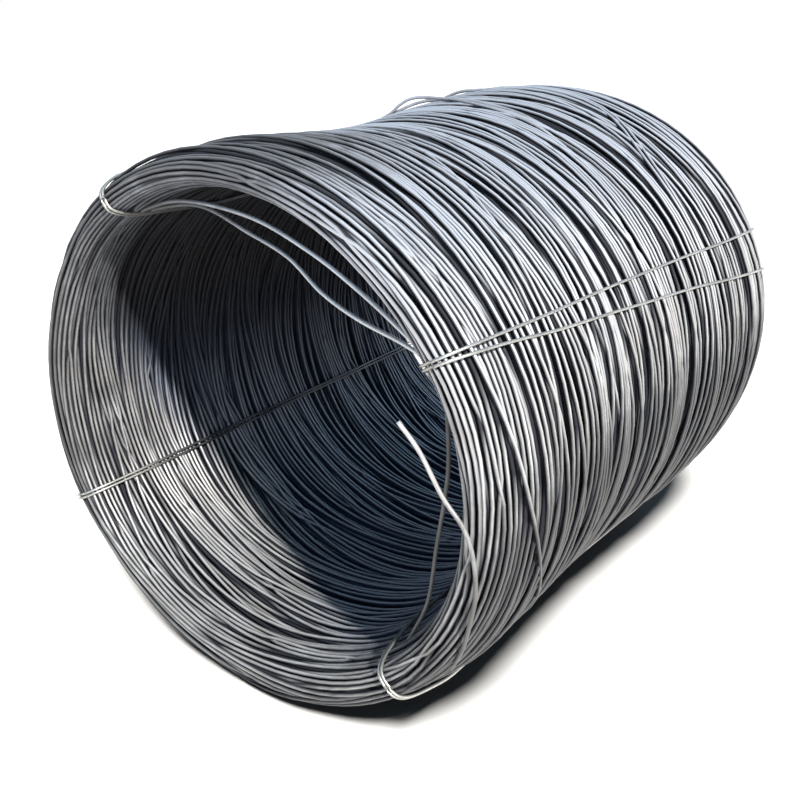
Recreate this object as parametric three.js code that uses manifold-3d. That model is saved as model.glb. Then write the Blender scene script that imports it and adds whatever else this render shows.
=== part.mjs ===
// A coil of hot-rolled wire rod lying on its side, held by four pairs of tie wires.
// Millimetres, +Z up. The coil's axis runs along X, from its near end to its far end.
// The origin is at the bottom centre of the whole thing.
import Module from 'manifold-3d';
import * as THREE from 'three';
import { mergeVertices } from 'three/addons/utils/BufferGeometryUtils.js';

const wasm = await Module();
wasm.setup();

// The rod, the wires that tie it, and the room left between a wire and the coil.
const ROD_DIA = 8;
const WIRE_DIA = 6;
const WIRE_CLEARANCE = 0.6;

// The coil on its side: a little wider than high, because it sags under its own weight.
const COIL_WIDTH = 1304;
const COIL_HEIGHT = 1191;
const COIL_LENGTH = 1260;
const COIL_WALL = 130;
// The loose inner turns settle, so the bore sits a little above the coil's centre.
const BORE_SHIFT_UP = 22;

// Each end is a rounded lip: how far along the coil it reaches, and how square it is.
const NEAR_LIP_DEPTH = 432;
const FAR_LIP_DEPTH = 235;
const LIP_POWER = 3.2;
// The turns at each end lean back and slew a little: millimetres along X for each one up or across.
const NEAR_LEAN = 0.064;
const FAR_LEAN = 0.085;
const NEAR_SLEW = -0.033;
const FAR_SLEW = -0.056;

// The outside narrows to a waist between two shoulders. Each is as high as its rise,
// and its place and reach are shares of the length. On the floor the turns stay level.
const NEAR_SHOULDER = { rise: 13, at: 0.07, reach: 0.09 };
const WAIST = { rise: -27, at: 0.41, reach: 0.22 };
const FAR_SHOULDER = { rise: 8, at: 0.82, reach: 0.12 };
const FLOOR_LEVELLING = 3.4;

// Bands of turns: the distance from groove to groove, and how deep a groove is.
const LIP_BAND_PITCH = 54;
const LIP_GROOVE_DEPTH = 13;
const SIDE_BAND_PITCH = 115;
const SIDE_GROOVE_DEPTH = 12;
const SIDE_GROOVE_WIDTH = 4 * ROD_DIA;
const BAND_WANDER = 5;

// Straight facets round the coil. One of them faces straight down.
const FACET_COUNT = 48;

// The turns that hang loose at the near end, each as points of [x, degrees from +Y, inset], before the coil
// settles. An inset is how far a point stands into the bore: below 0 it lies in the wall or on a lip.
// The third turn ends in the coil's own free end.
const LOOSE_TURNS = [
  [[83, 50, -54], [77, 58.4, -29], [65, 76, -1], [53, 98, 24], [45, 116, 25], [39, 130, 8], [35, 142, -21],
    [30, 151, -56]],
  [[100, 50, -52], [100, 60, -23], [99, 77, 18], [88, 94, 75], [79, 108, 89], [69, 121, 101], [60, 133, 71],
    [49, 144, 2], [43, 151, -46]],
  [[-22, 156.5, 16], [-13, 163.5, -1], [-6, 172.7, -24], [-1, 178.5, -56], [0, 184, -75], [2, 191, -88],
    [5, 197, -92], [18, 205, -98], [75, 217, -103]],
  [[42, 149, -56], [45, 157, -27], [49, 169, 1], [54, 180, 19], [59, 191, 23], [70, 208, -2], [83, 223, -29],
    [92, 232, -59]],
];
const LOOSE_STEP_COUNT = 24;
const ROD_SIDE_COUNT = 8;

// Each pair of tie wires: its place round the coil in degrees from +Y, at the near and far ends.
const PAIR_SPACING = 14;
const TIES = [
  { name: 'left', near: [-26.7, -26.7], far: [-26.7, -26.7] },
  { name: 'top', near: [60.5, 60.5], far: [60.5, 60.5] },
  { name: 'right', near: [149.1, 149.1], far: [155.5, 164.6] },
  { name: 'bottom', near: [-134, -134], far: [-134, -134] },
];

// The twist that closes a wire: its two ends wound round each other and laid flat.
const TWIST_TURN_COUNT = 2;
const TWIST_STEP_COUNT = 6;
const TWIST_PITCH = 26;
const TWIST_CLEARANCE = 1.4;
// The bend into a twist, in wire diameters: back along the run, along the twist and off the coil.
const TWIST_BENDS = [
  { back: 2.2, reach: 0.1, rise: 0.05 },
  { back: 1.3, reach: 0.5, rise: 0.3 },
  { back: 0.8, reach: 1.2, rise: 0.55 },
];
const WIRE_SIDE_COUNT = 6;
// How far a straight stretch of a wire may cut across the points that it skips.
const WIRE_CUT = 0.25;
// Points of a mesh this near to each other are one point.
const MERGE_DISTANCE = 0.001;

const meanRadius = (COIL_WIDTH + COIL_HEIGHT) / 4;
const squash = (COIL_WIDTH - COIL_HEIGHT) / (COIL_WIDTH + COIL_HEIGHT);
const facetAngle = (2 * Math.PI) / FACET_COUNT;
const firstEdge = -Math.PI / 2 + facetAngle / 2;

/** Half of a superellipse: the outline of a lip from the bore round to the outside. */
class Lip extends THREE.Curve {
  constructor(noseX, depth) {
    super();
    this.noseX = noseX;
    this.depth = depth;
  }

  getPoint(t) {
    const angle = (t - 0.5) * Math.PI;
    const round = (value) => Math.sign(value) * Math.abs(value) ** (2 / LIP_POWER);
    const x = this.noseX + this.depth * (1 - round(Math.cos(angle)));
    return new THREE.Vector2(meanRadius - COIL_WALL * (1 - round(Math.sin(angle))) / 2, x);
  }
}

/** Ridges and grooves round a lip: one crest for each band of turns. */
function lipStations(lip) {
  const bands = Math.round(lip.getLength() / LIP_BAND_PITCH);
  const stations = [];
  for (let i = 0; i <= 2 * bands; i += 1) {
    const point = lip.getPointAt(i / (2 * bands));
    const crest = i % 2 === 0;
    if (!crest) {
      const tangent = lip.getTangentAt(i / (2 * bands));
      const outward = new THREE.Vector2(Math.sign(lip.depth) * tangent.y, -Math.sign(lip.depth) * tangent.x);
      point.addScaledVector(outward, -LIP_GROOVE_DEPTH);
    }
    stations.push({ point, crest });
  }
  return stations;
}

/** Flat bands with grooves between them, along the straight outside or the straight bore. */
function sideStations(radius, from, to, inward) {
  const bands = Math.round(Math.abs(to - from) / SIDE_BAND_PITCH);
  const pitch = (to - from) / bands;
  const halfGroove = Math.sign(to - from) * SIDE_GROOVE_WIDTH / 2;
  const stations = [];
  for (let i = 0; i < bands; i += 1) {
    const start = from + i * pitch;
    if (i > 0) stations.push({ point: new THREE.Vector2(radius, start + halfGroove), crest: true });
    if (i < bands - 1) {
      const end = start + pitch;
      stations.push({ point: new THREE.Vector2(radius, end - halfGroove), crest: true });
      stations.push({ point: new THREE.Vector2(radius + inward * SIDE_GROOVE_DEPTH, end), crest: false });
    }
  }
  return stations;
}

/** The whole outline of the wall, as [radius, x] points, from the bore over the near lip and back. */
function wallOutline() {
  const nearLip = lipStations(new Lip(0, NEAR_LIP_DEPTH));
  const farLip = lipStations(new Lip(COIL_LENGTH, -FAR_LIP_DEPTH)).reverse();
  const [sideFrom, sideTo] = [NEAR_LIP_DEPTH, COIL_LENGTH - FAR_LIP_DEPTH];
  const outside = sideStations(meanRadius, sideFrom, sideTo, -1);
  const bore = sideStations(meanRadius - COIL_WALL, sideTo, sideFrom, 1);
  return [...nearLip, ...outside, ...farLip, ...bore];
}

/** How far the outside stands out from its mean radius, at a distance along the coil and a height. */
function swell(x, up) {
  const bump = ({ rise, at, reach }) => rise * Math.exp(-(((x / COIL_LENGTH - at) / reach) ** 2));
  const free = 1 - ((1 - up) / 2) ** FLOOR_LEVELLING;
  return free * (bump(NEAR_SHOULDER) + bump(WAIST) + bump(FAR_SHOULDER));
}

/** Moves a point of the plain turned coil to where it lies in the settled one. */
function settle(radius, x, azimuth) {
  const [across, up] = [Math.cos(azimuth), Math.sin(azimuth)];
  const fromBore = 1 - (meanRadius - radius) / COIL_WALL;
  const wall = COIL_WALL - BORE_SHIFT_UP * up;
  const settled = meanRadius - wall * (1 - fromBore) + swell(x, up) * fromBore;
  const y = settled * across * (1 + squash);
  const z = settled * up * (1 - squash);
  const along = x / COIL_LENGTH;
  const near = (1 - along) * (NEAR_SLEW * y + NEAR_LEAN * z);
  const far = along * (FAR_SLEW * y + FAR_LEAN * z);
  const wander = BAND_WANDER * Math.sin(azimuth * 2 + x / LIP_BAND_PITCH);
  return new THREE.Vector3(x + near + far + wander, y, z);
}

/** The coil itself: the wall's outline turned round the axis, then settled. */
function rodCoil(outline) {
  const points = outline.map(({ point }) => point);
  const geometry = new THREE.LatheGeometry([...points, points[0]], FACET_COUNT, 0, 2 * Math.PI);
  const position = geometry.getAttribute('position');
  for (let i = 0; i < position.count; i += 1) {
    const radius = Math.hypot(position.getX(i), position.getZ(i));
    const turned = Math.atan2(position.getX(i), position.getZ(i));
    const edge = Math.round(turned / facetAngle);
    const { x, y, z } = settle(radius, position.getY(i), firstEdge + edge * facetAngle);
    position.setXYZ(i, x, y, z);
  }
  return geometry;
}

/** A regular many-sided section for a rod or a wire. */
function roundSection(diameter, sides) {
  return new THREE.Shape(Array.from({ length: sides }, (_, i) => {
    const angle = (2 * Math.PI * i) / sides;
    return new THREE.Vector2(Math.cos(angle), Math.sin(angle)).multiplyScalar(diameter / 2);
  }));
}

/** One loose turn, on a smooth curve from inside the wall, through the bore and back, or to its free end. */
function looseTurn(points) {
  const boreRadius = meanRadius - COIL_WALL;
  const curve = new THREE.CatmullRomCurve3(points.map(([x, degrees, inset]) => (
    settle(boreRadius - inset, x, THREE.MathUtils.degToRad(degrees)))));
  const section = roundSection(ROD_DIA, ROD_SIDE_COUNT);
  return new THREE.ExtrudeGeometry(section, { steps: LOOSE_STEP_COUNT, extrudePath: curve });
}

/** A closed mesh as a solid that can be joined to others. */
function solid(geometry) {
  const bare = geometry.clone();
  bare.deleteAttribute('normal');
  bare.deleteAttribute('uv');
  const merged = mergeVertices(bare, MERGE_DISTANCE);
  return new wasm.Manifold(new wasm.Mesh({
    numProp: 3,
    vertProperties: merged.getAttribute('position').array,
    triVerts: new Uint32Array(merged.index.array),
  }));
}

/** The coil with its loose turns: one rod from end to end, so one piece. */
function joined(geometries) {
  const whole = geometries.map(solid).reduce((sum, next) => sum.add(next)).getMesh();
  const geometry = new THREE.BufferGeometry();
  geometry.setAttribute('position', new THREE.BufferAttribute(whole.vertProperties, 3));
  geometry.setIndex(new THREE.BufferAttribute(whole.triVerts, 1));
  geometry.computeVertexNormals();
  return geometry;
}

/** A point on the coil's flat facets, between the two facet edges beside an azimuth. */
function onFacet({ x: radius, y: x }, azimuth) {
  const edges = (azimuth - firstEdge) / facetAngle;
  const low = Math.floor(edges);
  const lowPoint = settle(radius, x, firstEdge + low * facetAngle);
  const highPoint = settle(radius, x, firstEdge + (low + 1) * facetAngle);
  const along = highPoint.clone().sub(lowPoint).normalize();
  return { point: lowPoint.lerp(highPoint, edges - low), along };
}

/** A wire's route as its own points, so that each bend gets a section of its own. */
class WireRoute extends THREE.Curve {
  constructor(points) {
    super();
    this.points = points;
  }

  getPoint(t) {
    const last = this.points.length - 1;
    const index = Math.min(Math.floor(t * last + 1e-6), last - 1);
    return this.points[index].clone().lerp(this.points[index + 1], t * last - index);
  }

  getPointAt(u) {
    return this.getPoint(u);
  }

  getTangentAt(u) {
    const last = this.points.length - 1;
    const index = Math.round(u * last);
    const before = this.points[Math.max(index - 1, 0)];
    const after = this.points[Math.min(index + 1, last)];
    return after.clone().sub(before).normalize();
  }
}

/** Lifts each point of a closed loop off the coil, with more at a bend so that its sides clear too. */
function liftLoop(marks, lift) {
  return marks.map(({ point, along }, i) => {
    const before = marks[(i + marks.length - 1) % marks.length].point;
    const after = marks[(i + 1) % marks.length].point;
    const arriving = point.clone().sub(before).normalize();
    const leaving = after.clone().sub(point).normalize();
    const run = arriving.clone().add(leaving).normalize();
    const outward = run.clone().cross(along).normalize().negate();
    const miter = Math.max(arriving.dot(run), 0.5);
    return { point: point.clone().addScaledVector(outward, lift / miter), run, along, outward };
  });
}

/** Leaves out the points that lie on a nearly straight stretch of a wire's run. */
function bendsOnly(points) {
  const kept = [0];
  for (let end = 2; end < points.length; end += 1) {
    const stretch = new THREE.Line3(points[kept.at(-1)], points[end]);
    const cut = (point) => stretch.closestPointToPoint(point, true, new THREE.Vector3()).distanceTo(point);
    if (points.slice(kept.at(-1) + 1, end).some((point) => cut(point) > WIRE_CUT)) kept.push(end - 1);
  }
  return [...kept, points.length - 1].map((index) => points[index]);
}

/** One end of the wire in its twist, from the base of the twist to its tip. */
function twistEnd(mark, side, away) {
  const radius = (WIRE_DIA + TWIST_CLEARANCE) / 2;
  const steps = TWIST_TURN_COUNT * TWIST_STEP_COUNT;
  const points = [];
  for (let i = 0; i <= steps; i += 1) {
    const turn = (2 * Math.PI * i) / TWIST_STEP_COUNT;
    const reach = WIRE_DIA * 2 + (TWIST_PITCH * i) / TWIST_STEP_COUNT;
    points.push(mark.point.clone()
      .addScaledVector(mark.run, side * radius * Math.cos(turn))
      .addScaledVector(mark.outward, radius + side * radius * Math.sin(turn))
      .addScaledVector(mark.along, away * reach));
  }
  return points;
}

/** The bend by which a wire leaves its run and joins the twist. */
function twistBend(mark, side, away) {
  return TWIST_BENDS.map(({ back, reach, rise }) => mark.point.clone()
    .addScaledVector(mark.run, side * back * WIRE_DIA)
    .addScaledVector(mark.along, away * reach * WIRE_DIA)
    .addScaledVector(mark.outward, rise * WIRE_DIA));
}

/** One tie wire: round the wall, through the bore and back, its ends twisted together at the far end. */
function tieWire(outline, nearAzimuth, farAzimuth, away) {
  const crests = outline.filter(({ crest }) => crest);
  const marks = crests.map(({ point }) => {
    const share = point.y / COIL_LENGTH;
    return onFacet(point, nearAzimuth + (farAzimuth - nearAzimuth) * share);
  });
  const loop = liftLoop(marks, WIRE_DIA / 2 + WIRE_CLEARANCE);
  const nose = crests.reduce((best, { point }, i) => (point.y > crests[best].point.y ? i : best), 0);
  const knot = loop[nose];
  const run = bendsOnly([...loop.slice(nose + 1), ...loop.slice(0, nose)].map(({ point }) => point));
  const leaving = [...twistEnd(knot, 1, away).reverse(), ...twistBend(knot, 1, away).reverse()];
  const arriving = [...twistBend(knot, -1, away), ...twistEnd(knot, -1, away)];
  const points = [...leaving, ...run, ...arriving];
  const section = roundSection(WIRE_DIA, WIRE_SIDE_COUNT);
  return new THREE.ExtrudeGeometry(section, { steps: points.length - 1, extrudePath: new WireRoute(points) });
}

const rodSteel = new THREE.MeshStandardMaterial({ color: 0x8d959c, roughness: 0.42, metalness: 0.9 });
const wireSteel = new THREE.MeshStandardMaterial({ color: 0xb4b7b9, roughness: 0.35, metalness: 0.9 });

function piece(name, geometry, material) {
  const mesh = new THREE.Mesh(geometry, material);
  mesh.name = name;
  return mesh;
}

const outline = wallOutline();
const coil = new THREE.Group();
coil.add(piece('rod_coil', joined([rodCoil(outline), ...LOOSE_TURNS.map(looseTurn)]), rodSteel));
const halfSpacing = PAIR_SPACING / 2 / meanRadius;
for (const { name, near, far } of TIES) {
  [-1, 1].forEach((side, i) => {
    const from = THREE.MathUtils.degToRad(near[i]) + side * halfSpacing;
    const to = THREE.MathUtils.degToRad(far[i]) + side * halfSpacing;
    coil.add(piece(`tie_wire_${name}_${i + 1}`, tieWire(outline, from, to, side), wireSteel));
  });
}

// Stands the coil on the floor, with the origin under its middle.
const bounds = new THREE.Box3().setFromObject(coil);
const centre = bounds.getCenter(new THREE.Vector3());
coil.position.set(-centre.x, -centre.y, -bounds.min.z);

export default coil;
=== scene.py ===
"""A coil of hot-rolled wire rod on its side: its turns laid one by one, its loose turns and its tie wires.

Lengths are in metres and +Z is up. The coil's own form is worked out with its axis along X from the nose of
its near end, and is then moved to where the frame holds it.
"""
import math

import bpy
import numpy as np
from mathutils import Matrix, Vector


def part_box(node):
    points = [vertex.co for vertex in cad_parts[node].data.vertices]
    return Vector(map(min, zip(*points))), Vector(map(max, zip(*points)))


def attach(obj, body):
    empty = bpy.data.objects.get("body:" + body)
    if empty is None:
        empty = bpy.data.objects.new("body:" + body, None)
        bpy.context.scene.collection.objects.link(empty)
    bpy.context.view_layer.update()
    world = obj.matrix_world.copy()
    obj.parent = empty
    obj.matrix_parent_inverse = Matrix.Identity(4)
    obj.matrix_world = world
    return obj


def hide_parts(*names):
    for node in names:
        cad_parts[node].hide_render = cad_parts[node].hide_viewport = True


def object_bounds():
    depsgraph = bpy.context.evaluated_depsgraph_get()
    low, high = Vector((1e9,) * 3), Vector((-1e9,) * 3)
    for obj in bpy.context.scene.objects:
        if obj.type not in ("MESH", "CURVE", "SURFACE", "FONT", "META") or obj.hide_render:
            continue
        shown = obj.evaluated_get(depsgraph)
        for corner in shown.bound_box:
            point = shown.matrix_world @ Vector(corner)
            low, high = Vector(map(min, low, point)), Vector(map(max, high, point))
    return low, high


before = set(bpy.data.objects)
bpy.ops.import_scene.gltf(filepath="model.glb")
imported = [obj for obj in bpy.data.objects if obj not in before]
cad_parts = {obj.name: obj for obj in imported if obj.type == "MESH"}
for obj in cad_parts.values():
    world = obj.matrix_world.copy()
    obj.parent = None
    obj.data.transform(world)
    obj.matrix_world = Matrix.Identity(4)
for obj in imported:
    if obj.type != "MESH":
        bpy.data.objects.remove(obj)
cad_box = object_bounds()
scene = bpy.context.scene

TURN = 2 * math.pi

# The rod and the wires that tie it.
ROD_DIA = 0.008
WIRE_DIA = 0.006
OUTWARD_STEP = 0.001    # to a point that shows which way is outward

# The coil's form, as it lies.
COIL_WIDTH, COIL_HEIGHT, COIL_LENGTH = 1.304, 1.191, 1.260
COIL_WALL = 0.130
BORE_SHIFT_UP = 0.022
NEAR_LIP_DEPTH, FAR_LIP_DEPTH = 0.432, 0.235
LIP_POWER = 3.2
NEAR_LEAN, FAR_LEAN = 0.064, 0.085
NEAR_SLEW, FAR_SLEW = -0.033, -0.056
# Rise, place and reach of the two shoulders and the waist between them.
SHOULDERS_AND_WAIST = ((0.013, 0.07, 0.09), (-0.027, 0.41, 0.22), (0.008, 0.82, 0.12))
FLOOR_LEVELLING = 3.4
MEAN_RADIUS = (COIL_WIDTH + COIL_HEIGHT) / 4
SQUASH = (COIL_WIDTH - COIL_HEIGHT) / (COIL_WIDTH + COIL_HEIGHT)

# Bands of turns and the grooves between them. On the lips a groove is half as wide as its band.
LIP_BAND_PITCH = 0.054
SIDE_BAND_PITCH = 0.115
SIDE_GROOVE_WIDTH = 0.032
GROOVE_DEPTH = 0.012
BAND_WANDER = 0.005

# How the turns are laid.
TURN_COUNT = 700
CROSSING_COUNT = 70     # that cross over the others at a slant
STEPS_ROUND = 80
ROD_SIDES = 7
LAYING_SEED = 7
SETTLING_STEPS = 160
LAST_STEPS = 6          # of them, with smoothing only every other time
NEIGHBOUR_COUNT = 9     # to each side, that a turn can touch
ROOM_BESIDE = 0.0112    # from a turn's middle to that of the next one beside it
ROOM_UNDER = 0.0082     # and to that of the next one under it
SKIN = 0.0025           # the highest rods stay this far under the outline
SLANTED_SKIN = SKIN / 3     # and the slanted ones less
BAND_DEPTH = 0.032      # the laid turns fill the wall this deep
BURIED_STEPS = 120      # in the surface under them
TONE_SEED = 3

# Where a turn would lie by itself. It wanders in one, two and three waves round the coil.
HOME_SCATTER = 1.2      # in places, from its even one
OWN_WANDER = (0.012, 0.006, 0.003)
CROSSING_WANDER, BORE_WANDER = 2.6, 0.6     # times that, for turns that cross and turns in the bore
INNER_LIP_RUN = 0.35    # up to here the near lip's turns lie as evenly as the bore's
CROSSING_ON_NEAR_LIP, CROSSING_ON_FAR_LIP = 0.25, 0.20  # how far round the lips turns cross
DEPTH_SCATTER = 0.013   # the most that it lies deeper than the highest
SINK_DEPTH = 0.014      # how much deeper one side of it lies than the other
UNDER_CROSSING = (0.001, 0.006)     # the turns that don't cross stay this far under those that do
LEVEL_POWER = 30        # the higher, the narrower the stretch that lies level on the floor
CROSSING_GIVE = 0.12    # how easily a turn that crosses is pushed aside, where the others have 1
CROSSING_HOLD, RUN_HOLD, DEPTH_HOLD = 0.2, 0.02, 0.03   # the pull back home in each step
EASE = 0.5              # the share of a push or a smoothing that a step takes
HOLLOW_KEPT = 0.5       # the share of its hollow that a turn can't be pushed out of

# What neighbours share: for the wander the most waves along the outline and their size, and for the
# hollows the fewest and the most.
SHARED_WANDER = ((22, 0.0055), (60, 0.003))
SHARED_WAVE_COUNT, SHARED_WAVES_ROUND = 9, 4
HOLLOW_WAVE_COUNT, HOLLOW_WAVES_ROUND, HOLLOW_WAVES_ALONG = 12, 5, (8, 46)
HOLLOW_LEVEL = 5        # the sum of waves that makes a whole hollow
HOLLOW_DEPTH = 0.005

# Painted shade on the turns: dark under other turns and on their sides that face in, for the shade between
# them.
SHADE_REACH = 0.013   # a turn this far beside another no longer shades it
SHADE_DEPTH = 0.0065  # and this far under it, it is painted in shade all over
UNSHADED_STRIP, BORE_UNSHADED_STRIP = 0.55, 0.65    # how narrow the unshaded strip is, and the more so in the bore
# Painted shade in the bore: from a little inside the near lip, and further in where the lamp lights it.
BORE_BEGINS, BORE_EDGE = 0.06, 0.05     # how far inside the mean radius, and over what distance
BORE_SHADE_FROM, BORE_FADE = 0.01, 0.14
BORE_LIT_PATCH_LENGTH, BORE_LIT_PATCH_PLACE = 0.34, math.radians(-50)
BORE_TOP_SHADE = 0.96  # of painted shade at its top, and none at its bottom
BORE_SHADE_LINE, BORE_SHADE_FADE = -0.3, 0.4    # of the radius: how high half of it is painted

# Where it is darker with dusting and painted shade, along the coil and round it.
DUST_SHADE_FROM, DUST_SHADE_LENGTH, DUST_SHADE_PLACE = 0.12, 0.50, math.radians(40)
DUST_SHADE_RIM_PLACE = math.radians(195)
DUST_SHADE_BELOW, DUST_SHADE_FADE = 0.30, 0.40    # of the coil's half height

# Each pair of tie wires: its places round the coil in degrees from +Y, at the near and far ends.
PAIR_SPACING, PAIR_SWAY, PAIR_SWAY_WAVES = 0.014, 0.22, 3
TIES = {"left": ((-26.7, -26.7), (-26.7, -26.7)), "top": ((60.5, 60.5), (60.5, 60.5)),
        "right": ((149.1, 149.1), (155.5, 164.6)), "bottom": ((-134, -134), (-134, -134))}
WIRE_SIDES = 8
TAUT_REACH, TAUT_STEPS = 20, 400    # how far it spans, in the outline's steps, and rounds of smoothing
KNOT_GAP = 4.5          # in wire diameters, from the knot to where the wire lies on turns
WIRE_POINT_STEP = 3     # in the outline's steps
KNOT_DEPTH = 0.02       # in the wall, of the point that a knot faces away from
TWIST_TURN_COUNT = 2
TWIST_POINT_COUNT = 12  # in each turn
TWIST_PITCH = 0.026
TWIST_RADIUS = 0.56 * WIRE_DIA
# How a wire bends into its twist, in wire diameters: back along the coil, along the twist and outward.
TWIST_BENDS = ((3.2, 0.02, 0.0), (2.0, 0.15, 0.08), (1.1, 0.7, 0.3))
# Where a wire is painted in shade in the bore: how far inside the mean radius, and how far from the near end.
WIRE_BORE_BEGINS, WIRE_BORE_EDGE = 0.09, 0.03
WIRE_DARK_FROM, WIRE_DARK_FADE = 0.10, 0.15

# The turns that hang loose at the near end, as points before the coil settles: the distance along it, the
# degrees from +Y and how far the point stands into the bore.
LOOSE_TURNS = (
    ((0.083, 50, -0.054), (0.077, 58.4, -0.029), (0.065, 76, -0.001), (0.053, 98, 0.024), (0.045, 116, 0.025),
     (0.039, 130, 0.008), (0.035, 142, -0.021), (0.030, 151, -0.056)),
    ((0.100, 50, -0.052), (0.100, 60, -0.023), (0.099, 77, 0.018), (0.088, 94, 0.075), (0.079, 108, 0.089),
     (0.069, 121, 0.101), (0.060, 133, 0.071), (0.049, 144, 0.002), (0.043, 151, -0.046)),
    ((-0.022, 156.5, 0.016), (-0.013, 163.5, -0.001), (-0.006, 172.7, -0.024), (-0.001, 178.5, -0.056),
     (0.000, 184, -0.075), (0.002, 191, -0.088), (0.005, 197, -0.092), (0.018, 205, -0.098),
     (0.075, 217, -0.103)),
    ((0.042, 149, -0.056), (0.045, 157, -0.027), (0.049, 169, 0.001), (0.054, 180, 0.019),
     (0.059, 191, 0.023), (0.070, 208, -0.002), (0.083, 223, -0.029), (0.092, 232, -0.059)),
)
# The turns that stand up from the waist, in the same way, with the rise over the outside.
RAISED_TURNS = (
    ((0.800, 63, -0.011), (0.800, 68, -0.004), (0.800, 71.5, 0.002), (0.806, 74, 0.018),
     (0.814, 76.5, 0.0275), (0.822, 79.5, 0.0225), (0.824, 83.5, 0.010), (0.811, 89, 0.004),
     (0.789, 94.5, 0.001), (0.774, 102, -0.001), (0.767, 112, -0.006), (0.764, 124, -0.024)),
    ((0.812, 66, -0.010), (0.813, 71, -0.002), (0.817, 75.5, 0.006), (0.823, 79.5, 0.0095),
     (0.826, 84.5, 0.005), (0.818, 90, 0.002), (0.803, 96.5, 0.000), (0.792, 106, -0.003),
     (0.788, 118, -0.012)),
    ((0.985, 70, -0.010), (0.985, 75.5, 0.001), (0.988, 79, 0.004), (0.990, 83, 0.000), (0.984, 88, -0.003),
     (0.975, 94, -0.004), (0.968, 102, -0.006), (0.965, 112, -0.012)),
)
# Turns that slant over the others, as degrees from +Y and the run along the wall's outline: two over the
# far shoulder, and one from the near lip to the side.
SLANTED_TURNS = (
    ((60, 1.547), (86, 1.537), (98, 1.525), (108, 1.518), (113, 1.511), (118.5, 1.478), (123.8, 1.438),
     (128.8, 1.410), (133, 1.395), (140, 1.385), (170, 1.370), (250, 1.445), (330, 1.535)),
    ((60, 1.563), (86, 1.551), (98, 1.538), (108, 1.531), (114, 1.519), (119.5, 1.489), (124.8, 1.451),
     (130, 1.423), (135, 1.406), (143, 1.394), (170, 1.380), (250, 1.455), (330, 1.547)),
    ((60, 0.540), (100, 0.535), (130, 0.535), (151, 0.536), (159, 0.543), (164, 0.550), (168, 0.556),
     (175, 0.566), (181, 0.586), (187, 0.611), (193, 0.649), (202, 0.715), (216, 0.785), (250, 0.830),
     (300, 0.740), (345, 0.610)),
)
# Valleys where the turns have sunk deeper: degrees from +Y and the run along the wall's outline.
VALLEYS = (
    ((112, 0.565), (122, 0.565), (126, 0.557), (132, 0.555), (142, 0.553), (158, 0.545), (164, 0.537),
     (182, 0.540)),
    ((96, 0.790), (104, 0.814), (109, 0.832), (114, 0.860), (120, 0.873), (126, 0.889), (129, 0.876),
     (134, 0.869), (142, 0.851), (153, 0.840), (161, 0.812), (173, 0.820), (182, 0.822)),
    ((126, 1.070), (139, 1.061), (144, 1.048), (149, 1.035), (154, 1.024), (166, 1.010)),
    ((106, 1.160), (116, 1.188), (122, 1.214), (129, 1.228), (137, 1.250), (144, 1.258), (150, 1.244),
     (155, 1.230), (170, 1.215)),
)
VALLEY_DEPTH, VALLEY_REACH, VALLEY_FADE = 0.009, 0.012, math.radians(9)
LOOSE_STEPS = 72
LOOSE_SIDES = 12
# How worn each loose and raised turn is, and its dusting and painted shade from its first point to its last.
LOOSE_TONES = (0.3, 0.6, 0.3, 0.0, 0.3, 0.5, 0.4)
LOOSE_DUST_SHADE_FROM = (1.2, 1.3, 0.1, 0.8, 0.5, 0.5, 0.5)
LOOSE_DUST_SHADE_TO = (-0.7, -0.9, 1.2, 0.8, 0.5, 0.5, 0.5)

# The UV map: each tube has a strip, with a margin beside it and a round patch for its two ends.
UV_STRIP, UV_MARGIN, UV_END = 0.92, 0.04, 0.3

# Finishes. Mill scale is dark where it is whole, and pale and smooth where it is rubbed.
STREAKS_ROUND = 7.0
ROD_FINENESS, WIRE_FINENESS, BURIED_FINENESS = 220.0, 300.0, 120.0
SCALE_DARK = (0.44, 0.443, 0.45, 1)
SCALE_BRIGHT = (0.90, 0.895, 0.89, 1)
SCALE_WARM = (0.42, 0.37, 0.33, 1)
# Pale blue painted on the coil's top and in the bore: painted sky light.
PAINTED_SKY_TINT = (0.69, 0.72, 0.80, 1)
# Near-black painted shade under, between and beside the turns.
PAINTED_GAP_SHADE = (0.022, 0.024, 0.030, 1)
# Painted shade in the bore: dark blue low down, nearly black high up.
BORE_LOW_SHADE = (0.024, 0.036, 0.070, 1)
BORE_HIGH_SHADE = (0.012, 0.012, 0.014, 1)
WARM_SHARE = 0.35
# Heights over which the painted sky tint comes in on the coil's top.
SKY_TINT_HEIGHTS = (0.70, 1.20)
# Heights over which the bore's painted shade goes from dark blue to nearly black.
BORE_SHADE_HEIGHTS = (0.35, 0.85)
# Dark grey for dusting, and for painted shade where the same mask lays it.
DUST_AND_SHADE_COLOUR = (0.080, 0.078, 0.076, 1)
DUST_AND_SHADE_SHARE = 0.85
ROD_METALLIC, SHADE_METALLIC, DUST_AND_SHADE_DULLING = 0.5, 0.05, 0.6
ROD_ROUGH, ROD_POLISHED, SHADE_ROUGHER, DUST_AND_SHADE_ROUGHER = 0.36, 0.25, 0.35, 0.2
ROD_SPECULAR = 0.2
GRAIN_FINENESS, GRAIN_SHARE, GRAIN_STRENGTH, GRAIN_HEIGHT = 1500.0, 0.6, 0.25, 0.0003
WIRE_DULL = (0.27, 0.263, 0.25, 1)
WIRE_BRIGHT = (0.60, 0.585, 0.55, 1)
# Near-black painted shade on the wires in the bore.
WIRE_PAINTED_SHADE = (0.11, 0.11, 0.12, 1)
WIRE_METALLIC = 0.8
WIRE_ROUGH, WIRE_POLISHED = 0.46, 0.30
# Near-black painted shade for the deep turns, with streaks.
BURIED_DARK = (0.010, 0.011, 0.015, 1)
BURIED_LIGHT = (0.030, 0.032, 0.038, 1)
BURIED_METALLIC, BURIED_ROUGH = 0.3, 0.7

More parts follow.
